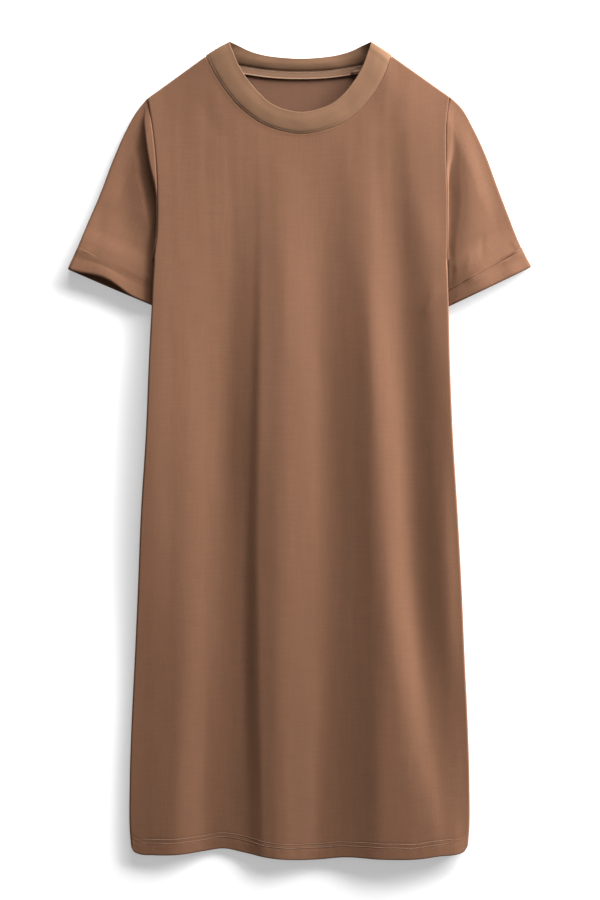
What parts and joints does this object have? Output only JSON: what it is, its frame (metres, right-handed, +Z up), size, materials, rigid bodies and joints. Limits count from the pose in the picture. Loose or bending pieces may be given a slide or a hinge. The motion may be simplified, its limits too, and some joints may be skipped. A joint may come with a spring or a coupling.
{
  "type": "t-shirt dress",
  "caption": "Short-sleeved jersey t-shirt dress with a rib crew neck and turned-up cuffs, laid flat face up with soft lengthwise folds.",
  "frame": {"origin": "on the table, at the middle of the laid-out dress", "axes": "+X to the wearer's left (the right side as seen from above, neck at the top), +Y from the hem to the neck, +Z up from the table"},
  "size_m": [0.5637, 1.0024, 0.0183],
  "materials": {
    "front_panel": "matte cotton jersey",
    "back_panel": "matte cotton jersey",
    "sleeve_left": "matte cotton jersey",
    "sleeve_right": "matte cotton jersey",
    "cuff_left": "matte cotton jersey",
    "cuff_right": "matte cotton jersey",
    "neckband": "matte rib knit",
    "neck_tape": "matte tape"
  },
  "bodies": {
    "root": {"front_panel": "front_panel", "back_panel": "back_panel", "sleeve_left": "sleeve_left", "sleeve_right": "sleeve_right", "cuff_left": "cuff_left", "cuff_right": "cuff_right", "neckband": "neckband", "neck_tape": "neck_tape"}
  },
  "joints": []
}
